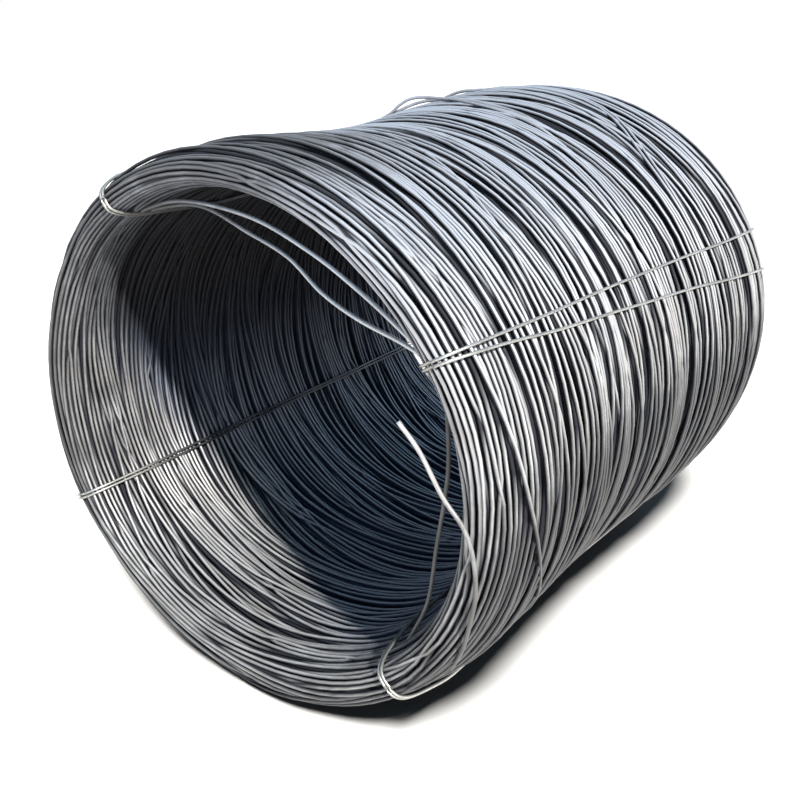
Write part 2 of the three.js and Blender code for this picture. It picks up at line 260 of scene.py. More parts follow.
# The view, the floor and the light.
CAMERA_PLACE = (-1.659, -1.3375, 1.3849)
CAMERA_HEADING, CAMERA_PITCH, CAMERA_ROLL = (math.radians(angle) for angle in (40.3025, 22.9683, -3.3709))
CAMERA_LENS, CAMERA_SENSOR = 41.006, 36
FLOOR_SIZE = 400.0
FLOOR_DULL = (0.015, 0.015, 0.015, 1)   # for light that it throws back
FLOOR_PALE = (0.060, 0.058, 0.055, 1)   # for the eye
FLOOR_ROUGH = 0.9
SKY_LOW = (1.0, 1.0, 1.0, 1)
SKY_HIGH = (0.36, 0.57, 0.78, 1)
SKY_HIGH_FROM = 0.6     # how steeply up
SKY_FILL, SKY_SEEN = 0.55, 1.0


# ---- the wall of turns ----

def swell(x, up):
    """How far the outside stands out from the mean radius, at a distance along the coil and a height."""
    free = 1 - ((1 - up) / 2) ** FLOOR_LEVELLING
    return free * sum(rise * np.exp(-(((x / COIL_LENGTH - at) / reach) ** 2))
                      for rise, at, reach in SHOULDERS_AND_WAIST)


def settle(radius, x, azimuth):
    """Moves a point of the plain turned coil to where it lies in the settled one."""
    across, up = np.cos(azimuth), np.sin(azimuth)
    from_bore = 1 - (MEAN_RADIUS - radius) / COIL_WALL
    wall = COIL_WALL - BORE_SHIFT_UP * up
    settled = MEAN_RADIUS - wall * (1 - from_bore) + swell(x, up) * from_bore
    y = settled * across * (1 + SQUASH)
    z = settled * up * (1 - SQUASH)
    along = x / COIL_LENGTH
    wander = BAND_WANDER * np.sin(azimuth * 2 + x / LIP_BAND_PITCH)
    x = x + (1 - along) * (NEAR_SLEW * y + NEAR_LEAN * z) + along * (FAR_SLEW * y + FAR_LEAN * z) + wander
    return np.stack(np.broadcast_arrays(x, y, z), -1)


class WallOutline:
    """The closed outline of the wall of turns. A place on it is a run along it and a depth under it."""

    SPACING = 0.002
    LIP_POINT_COUNT = 1201
    BEND_REACH = 10     # in those steps: the bend is evened out this far to each side

    def __init__(self):
        near = self.lip(0.0, NEAR_LIP_DEPTH)
        far = self.lip(COIL_LENGTH, -FAR_LIP_DEPTH)[::-1]
        corners = np.concatenate([near, far, near[:1]])
        run = np.concatenate([[0], np.cumsum(np.hypot(*np.diff(corners, axis=0).T))])
        self.length = run[-1]
        self.starts = run[[0, len(near) - 1, len(near), len(near) + len(far) - 1]]
        self.run = np.linspace(0, self.length, int(self.length / self.SPACING), endpoint=False)
        self.radius = np.interp(self.run, run, corners[:, 0])
        self.x = np.interp(self.run, run, corners[:, 1])
        step_radius = np.roll(self.radius, -1) - np.roll(self.radius, 1)
        step_x = np.roll(self.x, -1) - np.roll(self.x, 1)
        step = np.hypot(step_radius, step_x)
        self.out_radius, self.out_x = step_x / step, -step_radius / step
        heading = np.unwrap(np.arctan2(self.out_x, self.out_radius))
        bend = np.gradient(heading, self.length / len(self.run))
        reach = self.BEND_REACH
        padded = np.concatenate([bend[-reach:], bend, bend[:reach]])
        self.bend = np.convolve(padded, np.ones(2 * reach + 1) / (2 * reach + 1), "valid")

    def lip(self, nose, depth):
        """Half of a superellipse, from the bore round the nose to the outside."""
        angle = np.linspace(-math.pi / 2, math.pi / 2, self.LIP_POINT_COUNT)

        def rounded(value):
            return np.sign(value) * np.abs(value) ** (2 / LIP_POWER)

        radius = MEAN_RADIUS - COIL_WALL * (1 - rounded(np.sin(angle))) / 2
        return np.stack([radius, nose + depth * (1 - rounded(np.cos(angle)))], 1)

    def groove(self, run):
        """How deep a run lies in a groove between two bands: from 0 on a band to 1 in a groove's middle."""
        ends = np.append(self.starts, self.length)
        depth = np.zeros_like(run)
        for number, (start, end) in enumerate(zip(ends, ends[1:])):
            on_lip = number % 2 == 0
            pitch = LIP_BAND_PITCH if on_lip else SIDE_BAND_PITCH
            band_count = round((end - start) / pitch)
            band = np.clip((run - start) / (end - start), 0, 1) * band_count
            if on_lip:
                share = 1 - 2 * np.abs(band % 1 - 0.5)
            else:
                from_groove = np.abs(band - np.clip(np.round(band), 1, band_count - 1))
                share = np.clip(1 - from_groove * (end - start) / band_count / (SIDE_GROOVE_WIDTH / 2), 0, 1)
            depth = np.where((run >= start) & (run < end), share, depth)
        return depth

    def look_up(self, values, run):
        return np.interp(run, self.run, values, period=self.length)

    def place(self, run, depth, azimuth):
        """The settled point at a run, a depth and an azimuth."""
        radius = self.look_up(self.radius, run) - depth * self.look_up(self.out_radius, run)
        x = self.look_up(self.x, run) - depth * self.look_up(self.out_x, run)
        return settle(radius, x, azimuth)


outline = WallOutline()
azimuths = np.linspace(0, TURN, STEPS_ROUND, endpoint=False)


# ---- laying the turns ----

def ramp(value, start, length):
    """From 0 up to a start to 1 a length beyond it."""
    return np.clip((value - start) / length, 0, 1)


def waves(rng, count, sizes):
    """A slow wander round the coil for each of a number of turns: one wave, two waves and so on."""
    total = np.zeros((count, STEPS_ROUND))
    for number, size in enumerate(sizes, 1):
        phase = rng.uniform(0, TURN, (count, 1))
        total += size * rng.normal(0, 1, (count, 1)) * np.cos(number * azimuths - phase)
    return total


def shared_wander(rng, home):
    """The wander that neighbouring turns share, so that they run in groups."""
    total = np.zeros((len(home), STEPS_ROUND))
    for most_along, size in SHARED_WANDER:
        for _ in range(SHARED_WAVE_COUNT):
            round_waves = rng.integers(-SHARED_WAVES_ROUND, SHARED_WAVES_ROUND + 1)
            along_waves = rng.integers(most_along // 4, most_along)
            phase = TURN * (home[:, None] * along_waves / outline.length) + rng.uniform(0, TURN)
            total += rng.uniform(0.5, 1.5) * size * np.cos(round_waves * azimuths + phase)
    return total


def shared_hollows(rng, home):
    """Where neighbouring turns sink together and leave a shallow valley: from 0 to 1."""
    total = np.zeros((len(home), STEPS_ROUND))
    for _ in range(HOLLOW_WAVE_COUNT):
        round_waves = rng.integers(-HOLLOW_WAVES_ROUND, HOLLOW_WAVES_ROUND + 1)
        along_waves = rng.integers(*HOLLOW_WAVES_ALONG)
        phase = TURN * (home[:, None] * along_waves / outline.length) + rng.uniform(0, TURN)
        total += np.cos(round_waves * azimuths + phase)
    return np.clip(total / HOLLOW_LEVEL, 0, 1)


def valley_share(run):
    """How far each turn lies in one of the deeper valleys, from 0 to 1."""
    share = np.zeros_like(run)
    for points in VALLEYS:
        degrees, middle = np.array(points).T
        first, last = np.radians(degrees[0]), np.radians(degrees[-1])
        along = ramp(azimuths, first, VALLEY_FADE) * ramp(-azimuths, -last, VALLEY_FADE)
        away = run - np.interp(azimuths, np.radians(degrees), middle)
        share = np.maximum(share, along * np.exp(-((away / VALLEY_REACH) ** 2)))
    return share


def push_apart(run, depth, give):
    """How far to move turns that lie in each other, in every slice round the coil.

    A pair shares what it overlaps by how easily each gives way.
    """
    order = np.argsort(run, axis=0)
    sorted_run = np.take_along_axis(run, order, 0)
    sorted_depth = np.take_along_axis(depth, order, 0)
    sorted_give = give[order]
    bend = outline.look_up(outline.bend, sorted_run)
    least_stretch = 0.3     # where the outline bends too sharply for so deep a turn
    move_run, move_depth = np.zeros_like(run), np.zeros_like(run)
    for lag in range(1, NEIGHBOUR_COUNT + 1):
        ahead = np.roll(sorted_run, -lag, 0) - sorted_run
        ahead[-lag:] += outline.length
        under = np.roll(sorted_depth, -lag, 0) - sorted_depth
        stretch = 1 - bend * (np.roll(sorted_depth, -lag, 0) + sorted_depth) / 2
        across = ahead * np.maximum(stretch, least_stretch)
        apart = np.hypot(across * ROOM_UNDER / ROOM_BESIDE, under) + 1e-9
        push = np.maximum(ROOM_UNDER - apart, 0) / apart
        next_give = np.roll(sorted_give, -lag, 0)
        own = push * sorted_give / (sorted_give + next_give)
        other = push - own
        move_run -= own * across
        move_depth -= own * under
        move_run += np.roll(other * across, lag, 0)
        move_depth += np.roll(other * under, lag, 0)
    out_run, out_depth = np.empty_like(run), np.empty_like(run)
    np.put_along_axis(out_run, order, move_run, 0)
    np.put_along_axis(out_depth, order, move_depth, 0)
    return out_run, out_depth


def smoothed(values):
    """Each turn's values, evened out with those one step before and behind."""
    return (np.roll(values, 1, 1) + 2 * values + np.roll(values, -1, 1)) / 4


def lay_turns():
    """The run and depth of every turn at every step round the coil."""
    rng = np.random.default_rng(LAYING_SEED)
    scatter = rng.uniform(-HOME_SCATTER, HOME_SCATTER, TURN_COUNT)
    home = (np.arange(TURN_COUNT) + scatter) / TURN_COUNT * outline.length
    rng.shuffle(home)
    # The ones that cross are all on the outside, where the coil was handled.
    outside = home > outline.starts[1] - CROSSING_ON_NEAR_LIP
    outside &= home < outline.starts[2] + CROSSING_ON_FAR_LIP
    home = np.concatenate([home[outside], home[~outside]])
    crossing = (np.arange(TURN_COUNT) < CROSSING_COUNT)[:, None]
    guided = (np.arange(TURN_COUNT) < len(SLANTED_TURNS))[:, None]
    wander = waves(rng, TURN_COUNT, OWN_WANDER)
    in_bore = ((home > outline.starts[3]) | (home < INNER_LIP_RUN))[:, None]
    wander *= np.where(crossing, CROSSING_WANDER, np.where(in_bore, BORE_WANDER, 1))
    home_run = home[:, None] + shared_wander(rng, home) + wander
    for number, points in enumerate(SLANTED_TURNS):
        degrees, slanted = np.array(points).T
        guide = np.interp(azimuths, np.radians(degrees), slanted, period=TURN)
        home_run[number] = smoothed(guide[None])[0]
    # A turn comes up on one side of the coil and sinks under the others on the opposite side.
    surfacing = rng.uniform(0, TURN, (TURN_COUNT, 1))
    sunk = (1 - np.cos(azimuths - surfacing)) / 2
    # The turns that cross lie on top. The others stay under them, but on the floor all come level.
    off_floor = 1 - ((1 - np.sin(azimuths)) / 2) ** LEVEL_POWER
    under = np.where(crossing, 0, rng.uniform(*UNDER_CROSSING, (TURN_COUNT, 1))) * off_floor
    top = np.where(guided, SLANTED_SKIN, SKIN) * off_floor + ROD_DIA / 2 + under
    hollow = GROOVE_DEPTH * outline.groove(home_run % outline.length)
    hollow += HOLLOW_DEPTH * shared_hollows(rng, home)
    hollow = (hollow + VALLEY_DEPTH * valley_share(home_run)) * off_floor
    settled = top + rng.uniform(0, DEPTH_SCATTER, (TURN_COUNT, 1)) + SINK_DEPTH * sunk + hollow
    home_depth = np.where(crossing, top, settled)
    give = np.where(crossing[:, 0], CROSSING_GIVE, 1.0)
    run, depth = home_run.copy(), home_depth.copy()
    for step in range(SETTLING_STEPS):
        cooling = 1 - step / SETTLING_STEPS
        move_run, move_depth = push_apart(run % outline.length, depth, give)
        run += EASE * move_run
        depth += EASE * move_depth
        run += np.where(crossing, CROSSING_HOLD, RUN_HOLD * cooling) * (home_run - run)
        depth += DEPTH_HOLD * cooling * (home_depth - depth)
        if step < SETTLING_STEPS - LAST_STEPS or step % 2:
            run += EASE * (smoothed(run - home_run) - (run - home_run))
            depth = smoothed(depth)
        depth = np.clip(depth, top + np.where(crossing, 0, HOLLOW_KEPT * hollow), BAND_DEPTH)
    return run, depth


# ---- scale and weather ----

def shade_under_neighbours(run, depth):
    """How much painted shade each turn gets from lying under its neighbours, from 0 on top to 1 deep under
    them.
    """
    order = np.argsort(run % outline.length, axis=0)
    sorted_run = np.take_along_axis(run % outline.length, order, 0)
    sorted_depth = np.take_along_axis(depth, order, 0)
    under = np.zeros_like(run)
    for lag in range(1, NEIGHBOUR_COUNT + 1):
        ahead = np.roll(sorted_run, -lag, 0) - sorted_run
        ahead[-lag:] += outline.length
        near = np.clip(2 - 2 * ahead / SHADE_REACH, 0, 1)
        deeper = sorted_depth - np.roll(sorted_depth, -lag, 0)
        under = np.maximum(under, near * deeper)
        under = np.maximum(under, np.roll(-near * deeper, lag, 0))
    share = np.empty_like(run)
    np.put_along_axis(share, order, np.clip(under / SHADE_DEPTH, 0, 1), 0)
    return share


def bore_shade_share(run):
    """How much painted shade each turn gets in the bore, from 0 at the near lip to 1.

    It begins further in on the low left side, where the lamp's light falls into the bore.
    """
    beyond_lip = ramp(-outline.look_up(outline.radius, run), BORE_BEGINS - MEAN_RADIUS, BORE_EDGE)
    start = BORE_SHADE_FROM + BORE_LIT_PATCH_LENGTH * np.clip(np.cos(azimuths - BORE_LIT_PATCH_PLACE), 0, 1) ** 2
    return beyond_lip * ramp(outline.look_up(outline.x, run), start, BORE_FADE)


def bore_shade_round():
    """How much painted shade the bore gets round it: most at its top and none at its bottom."""
    return BORE_TOP_SHADE / 2 * (1 + np.clip((np.sin(azimuths) - BORE_SHADE_LINE) / BORE_SHADE_FADE, -1, 1))


def dust_and_shade_at(run):
    """How much each turn is darkened, partly by dusting and partly as painted shade.

    That is on the left of the near end, on the right of its inner rim, and low on the outside.
    """
    out = ramp(outline.look_up(outline.radius, run), MEAN_RADIUS - COIL_WALL, COIL_WALL)
    at_end = 1 - ramp(outline.look_up(outline.x, run), DUST_SHADE_FROM, DUST_SHADE_LENGTH)
    side = ramp(np.cos(azimuths - DUST_SHADE_PLACE), 0.1, 0.4) * (0.5 + 0.5 * out)
    rim = ramp(np.cos(azimuths - DUST_SHADE_RIM_PLACE), 0.5, 0.4) * np.clip(1 - 1.8 * out, 0, 1)
    low = ramp(-np.sin(azimuths), -DUST_SHADE_BELOW, DUST_SHADE_FADE) * out
    return np.maximum(at_end * np.maximum(side, rim), low)


def wire_bore_shade(line, shift):
    """How much painted shade each point of a wire gets in the bore, from 0 to 1."""
    place = line - shift
    radius = np.hypot(place[:, 1], place[:, 2])
    within = ramp(-radius, WIRE_BORE_BEGINS - MEAN_RADIUS, WIRE_BORE_EDGE)
    return within * ramp(place[:, 0], WIRE_DARK_FROM, WIRE_DARK_FADE)


# ---- tubes ----

def within_box(centres, radius):
    """Keeps the centre lines of tubes as far inside the frame's box as the tubes are thick."""
    return np.clip(centres, np.array(cad_box[0]) + radius, np.array(cad_box[1]) - radius)


def sweep_tubes(centres, outward, radius, sides, closed=True):
    """Rings of points round centre lines: (lines, steps, sides, 3)."""
    if closed:
        ahead = np.roll(centres, -1, 1) - np.roll(centres, 1, 1)
    else:
        ahead = np.gradient(centres, axis=1)
    ahead /= np.linalg.norm(ahead, axis=-1, keepdims=True)
    beside = np.cross(ahead, outward)
    beside /= np.linalg.norm(beside, axis=-1, keepdims=True)
    out = np.cross(beside, ahead)
    angle = TURN * np.arange(sides) / sides
    cosine, sine = np.cos(angle)[:, None], np.sin(angle)[:, None]
    return centres[:, :, None] + radius * (cosine * out[:, :, None] + sine * beside[:, :, None])


def tube_mesh(name, rings, tones, painted_shade=None, inner=0.0, dust_and_shade=0.0, closed=True):
    """One mesh of tubes, with a strip of the UV map and a tone for each. Open tubes get flat ends.

    Painted shade: how far each ring's outward side is painted in shade. The sides that face in always are.
    Inner: how far inside the bore each ring lies; the last mark: how much dusting and painted shade it has.
    """
    lines, steps, sides, _ = rings.shape
    index = np.arange(lines * steps * sides).reshape(lines, steps, sides)
    ahead = np.roll(index, -1, 1)
    quads = np.stack([index, np.roll(index, -1, 2), np.roll(ahead, -1, 2), ahead], -1)
    line, step, side = np.meshgrid(np.arange(lines), np.arange(steps), np.arange(sides), indexing="ij")
    u = np.stack([step, step, step + 1, step + 1], -1) / steps
    around = np.stack([side, side + 1, side + 1, side], -1) / sides
    v = (line[..., None] + around * UV_STRIP + UV_MARGIN) / lines
    if not closed:
        quads, u, v = quads[:, :-1], u[:, :-1], v[:, :-1]
    corners, u, v = quads.ravel(), u.ravel(), v.ravel()
    starts = np.arange(0, corners.size, 4)
    if not closed:
        ends = np.concatenate([index[:, 0, ::-1], index[:, -1]])
        starts = np.concatenate([starts, corners.size + sides * np.arange(len(ends))])
        corners = np.concatenate([corners, ends.ravel()])
        angle = TURN * np.tile(np.arange(sides), len(ends)) / sides
        middle = np.repeat(np.tile(np.arange(lines) + 0.5, 2), sides)
        u = np.concatenate([u, (steps - 0.5 + UV_END * np.cos(angle)) / steps])
        v = np.concatenate([v, (middle + UV_END * np.sin(angle)) / lines])
    mesh = bpy.data.meshes.new(name)
    mesh.vertices.add(index.size)
    mesh.vertices.foreach_set("co", rings.astype(np.float32).ravel())
    mesh.loops.add(corners.size)
    mesh.loops.foreach_set("vertex_index", corners.astype(np.int32))
    mesh.polygons.add(len(starts))
    mesh.polygons.foreach_set("loop_start", starts.astype(np.int32))
    mesh.update(calc_edges=True)
    mesh.shade_smooth()
    if not closed:
        smooth = np.arange(len(starts)) < quads.size // 4
        mesh.polygons.foreach_set("use_smooth", smooth)
    ring_shade = np.zeros(rings.shape[:3])
    if painted_shade is not None:
        narrow = (UNSHADED_STRIP + BORE_UNSHADED_STRIP * inner)[..., None]
        facing = np.clip((1 + narrow) * np.cos(TURN * np.arange(sides) / sides) - narrow, 0, 1)
        ring_shade = 1 - (1 - painted_shade[..., None]) * facing
    flat = (lines, steps, sides)
    marks = {"tone": np.reshape(tones, (-1, 1, 1)), "painted_shade": ring_shade,
             "inner": np.atleast_1d(inner)[..., None], "dust_and_shade": np.atleast_1d(dust_and_shade)[..., None]}
    for label, values in marks.items():
        layer = mesh.attributes.new(label, "FLOAT", "POINT")
        layer.data.foreach_set("value", np.broadcast_to(values, flat).astype(np.float32).ravel())
    uv = mesh.uv_layers.new(name="OFBake")
    uv.uv.foreach_set("vector", np.stack([u, v], -1).astype(np.float32).ravel())
    mesh.validate()
    return mesh


def add_object(name, data):
    added = bpy.data.objects.new(name, data)
    scene.collection.objects.link(added)
    return added


def add_piece(name, mesh, material):
    """Puts a mesh in the scene as a piece that rides on the coil."""
    piece = add_object(name, mesh)
    mesh.materials.append(material)
    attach(piece, "root")
    return piece


def set_down():
    """The move from the coil's own place to where the frame holds it."""
    run, azimuth = np.meshgrid(outline.run, azimuths)
    surface = outline.place(run, 0.0, azimuth).reshape(-1, 3)
    low, high = (np.array(corner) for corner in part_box("rod_coil"))
    return (low + high) / 2 - (surface.min(0) + surface.max(0)) / 2


def smooth_line(points, count):
    """A line of that many points on a smooth curve through the given ones."""
    points = np.asarray(points)
    padded = np.concatenate([2 * points[:1] - points[1:2], points, 2 * points[-1:] - points[-2:-1]])
    place = np.linspace(0, len(points) - 1, count)
    index = np.minimum(place.astype(int), len(points) - 2)
    t = (place - index)[:, None]
    before, here, there, after = (padded[index + k] for k in range(4))
    return here + t / 2 * (there - before + t * (2 * before - 5 * here + 4 * there - after
                                                + t * (3 * (here - there) + after - before)))


def loose_line(points, face_radius, direction, shift):
    """The centre line of a loose turn, from points given as distance along, degrees and stand off a face."""
    along, degrees, stand = np.array(points).T
    radius = face_radius + direction * stand
    return smooth_line(settle(radius, along, np.radians(degrees)), LOOSE_STEPS) + shift


# ---- the tie wires ----

def slice_at(values, azimuth):
    """The turns' values at an azimuth between the steps, for each of a number of azimuths."""
    step = (azimuth / TURN * STEPS_ROUND) % STEPS_ROUND
    low = step.astype(int) % STEPS_ROUND
    share = step - np.floor(step)
    return values[:, low] * (1 - share) + values[:, (low + 1) % STEPS_ROUND] * share


def taut_height(samples, azimuth, run, depth):
    """How high over the outline a taut wire lies on the turns, at each sample."""
    reach = (ROD_DIA + WIRE_DIA) / 2
    away = slice_at(run, azimuth) - samples
    away -= outline.length * np.round(away / outline.length)
    crest = np.sqrt(np.maximum(reach ** 2 - away ** 2, 0)) - slice_at(depth, azimuth)
    crest = np.where(np.abs(away) < reach, crest, -BAND_DEPTH).max(0)
    height = np.max([np.roll(crest, lag) for lag in range(-TAUT_REACH, TAUT_REACH + 1)], axis=0)
    for _ in range(TAUT_STEPS):
        height = np.maximum(crest, (np.roll(height, 1) + 2 * height + np.roll(height, -1)) / 4)
    return height


def unit(vector):
    return vector / np.linalg.norm(vector)


def twist_directions(knot, ahead, inside, azimuth, side):
    """Which way a wire's twist runs from its knot, away from its partner, and which way is outward."""
    along = unit(np.cross(ahead, knot - inside))
    along *= math.copysign(1, along[2] * math.cos(azimuth) - along[1] * math.sin(azimuth)) * side
    outward = unit(np.cross(ahead, along))
    return along, outward * math.copysign(1, outward @ (knot - inside))


def tie_wire(near, far, side, sway, turns, shift):
    """The centre line of one tie wire: its own twist, round the wall on the turns, and its twist again."""
    samples = outline.run
    share = np.clip(outline.x / COIL_LENGTH, 0, 1)
    swayed = (1 - PAIR_SWAY) + PAIR_SWAY * np.cos(PAIR_SWAY_WAVES * TURN * samples / outline.length + sway)
    spread = side * PAIR_SPACING / 2 * swayed
    azimuth = np.radians(near + (far - near) * share) + spread / MEAN_RADIUS
    height = taut_height(samples, azimuth, *turns)
    loop = outline.place(samples, -height, azimuth) + shift
    nose = int(np.argmax(outline.x))
    loop = np.roll(loop, -nose, 0)
    knot = loop[0]
    ahead = unit(loop[1] - loop[-1])
    inside = outline.place(samples[nose:nose + 1], KNOT_DEPTH, azimuth[nose:nose + 1])[0] + shift
    along, outward = twist_directions(knot, ahead, inside, azimuth[nose], side)
    turn = TURN * np.linspace(0, TWIST_TURN_COUNT, TWIST_POINT_COUNT * TWIST_TURN_COUNT + 1)[:, None]

    def twist(hand):
        helix = (knot + hand * TWIST_RADIUS * np.cos(turn) * ahead
                 + (TWIST_RADIUS + hand * TWIST_RADIUS * np.sin(turn)) * outward
                 + (2 * WIRE_DIA + TWIST_PITCH * turn / TURN) * along)
        bends = [knot + WIRE_DIA * (hand * back * ahead + reach * along + rise * outward)
                 for back, reach, rise in TWIST_BENDS]
        return np.concatenate([bends, helix])

    gap = int(KNOT_GAP * WIRE_DIA / outline.SPACING)
    return np.concatenate([twist(1)[::-1], loop[gap:-gap:WIRE_POINT_STEP], twist(-1)])


# ---- finishes ----

def new_group(name, inputs, outputs):
    """An empty shader node group with named sockets, and its input and output nodes."""
    group = bpy.data.node_groups.new(name, "ShaderNodeTree")
    for label, kind, value in inputs:
        socket = group.interface.new_socket(label, in_out="INPUT", socket_type=kind)
        socket.default_value = value
    for label, kind in outputs:
        group.interface.new_socket(label, in_out="OUTPUT", socket_type=kind)
    return group, group.nodes.new("NodeGroupInput"), group.nodes.new("NodeGroupOutput")


def feed(tree, slots, values):
    """Gives each input of a node its socket or its plain value."""
    for slot, value in zip(slots, values):
        if isinstance(value, bpy.types.NodeSocket):
            tree.links.new(value, slot)
        elif value is not None:
            slot.default_value = value


def add_math(tree, operation, first, second=None):
    """A Math node of sockets or plain numbers, and its result."""
    node = tree.nodes.new("ShaderNodeMath")
    node.operation = operation
    feed(tree, node.inputs, (first, second))
    return node.outputs["Value"]


def add_place(tree, kind="Object"):
    """Where a point is, as a vector and as its three parts."""
    place = tree.nodes.new("ShaderNodeTexCoord").outputs[kind]
    split = tree.nodes.new("ShaderNodeSeparateXYZ")
    tree.links.new(place, split.inputs[0])
    return place, *split.outputs


def add_noise(tree, vector, dimensions="3D", fourth=None, **settings):
    """A Noise Texture and the value it gives."""
    node = tree.nodes.new("ShaderNodeTexNoise")
    node.noise_dimensions = dimensions
    for label, value in settings.items():
        node.inputs[label].default_value = value
    tree.links.new(vector, node.inputs["Vector"])
    if fourth is not None:
        tree.links.new(fourth, node.inputs["W"])
    return node.outputs["Fac"]


def add_range(tree, value, low, high, to_low=0.0, to_high=1.0):
    """A value taken smoothly from one range to another, and held at its ends."""
    node = tree.nodes.new("ShaderNodeMapRange")
    node.interpolation_type = "SMOOTHSTEP"
    tree.links.new(value, node.inputs["Value"])
    ends = {"From Min": low, "From Max": high, "To Min": to_low, "To Max": to_high}
    for label, number in ends.items():
        node.inputs[label].default_value = number
    return node.outputs["Result"]


def add_mix(tree, share, first, second):
    """A colour mix of sockets or plain colours, by a share."""
    node = tree.nodes.new("ShaderNodeMix")
    node.data_type = "RGBA"
    colours = [slot for slot in node.inputs if slot.type == "RGBA"]
    feed(tree, (node.inputs["Factor"], *colours), (share, first, second))
    return node.outputs[2]


def rolling_streaks(axis_height):
    """Streaks that run along the rod round the coil's axis, and slow patches, each from 0 to 1."""
    tree, given, out = new_group("rolling_streaks", [("Fineness", "NodeSocketFloat", 400.0)],
                                 [("Streak", "NodeSocketFloat"), ("Patch", "NodeSocketFloat")])
    place, along, across, up = add_place(tree)
    height = add_math(tree, "SUBTRACT", up, axis_height)
    squares = [add_math(tree, "MULTIPLY", length, length) for length in (height, across)]
    radius = add_math(tree, "SQRT", add_math(tree, "ADD", *squares))
    cosine, sine = (add_math(tree, "MULTIPLY", add_math(tree, "DIVIDE", length, radius), STREAKS_ROUND)
                    for length in (across, height))
    fineness = given.outputs["Fineness"]
    stretch = tree.nodes.new("ShaderNodeCombineXYZ")
    tree.links.new(add_math(tree, "MULTIPLY", along, fineness), stretch.inputs["X"])
    tree.links.new(add_math(tree, "MULTIPLY", radius, fineness), stretch.inputs["Y"])
    tree.links.new(cosine, stretch.inputs["Z"])
    streak = add_noise(tree, stretch.outputs[0], "4D", sine, Scale=1.0, Detail=2.0, Roughness=0.55)
    patch = add_noise(tree, place, Scale=9.0, Detail=4.0, Roughness=0.6)
    tree.links.new(add_range(tree, streak, 0.3, 0.7), out.inputs["Streak"])
    tree.links.new(add_range(tree, patch, 0.35, 0.65), out.inputs["Patch"])
    return tree


def dust_and_painted_shade():
    """A dark dusting, and painted shade, where the mask lays it, and thin dusting in patches elsewhere."""
    tree, given, out = new_group("dust_and_painted_shade", [("Dust_and_shade", "NodeSocketFloat", 0.0)],
                                 [("Dust_and_shade_share", "NodeSocketFloat")])
    place = tree.nodes.new("ShaderNodeTexCoord").outputs["Object"]
    blotch = add_noise(tree, place, Scale=14.0, Detail=6.0, Roughness=0.65)
    laid = add_math(tree, "ADD", given.outputs["Dust_and_shade"], add_math(tree, "MULTIPLY", blotch, 0.9))
    tree.links.new(add_range(tree, laid, 0.42, 1.35), out.inputs["Dust_and_shade_share"])
    return tree


def add_group(tree, group, **values):
    """A shared effect placed in a material, with its own values."""
    node = tree.nodes.new("ShaderNodeGroup")
    node.node_tree = group
    for label, value in values.items():
        node.inputs[label].default_value = value
    return node


def new_material(name, metallic):
    """A material, its node tree and its shader."""
    material = bpy.data.materials.new(name)
    material.use_nodes = True
    shader = material.node_tree.nodes["Principled BSDF"]
    shader.inputs["Metallic"].default_value = metallic
    return material, material.node_tree, shader


def add_attribute(tree, label):
    """One of the marks that the tubes carry at their points."""
    node = tree.nodes.new("ShaderNodeAttribute")
    node.attribute_name = label
    return node.outputs["Fac"]


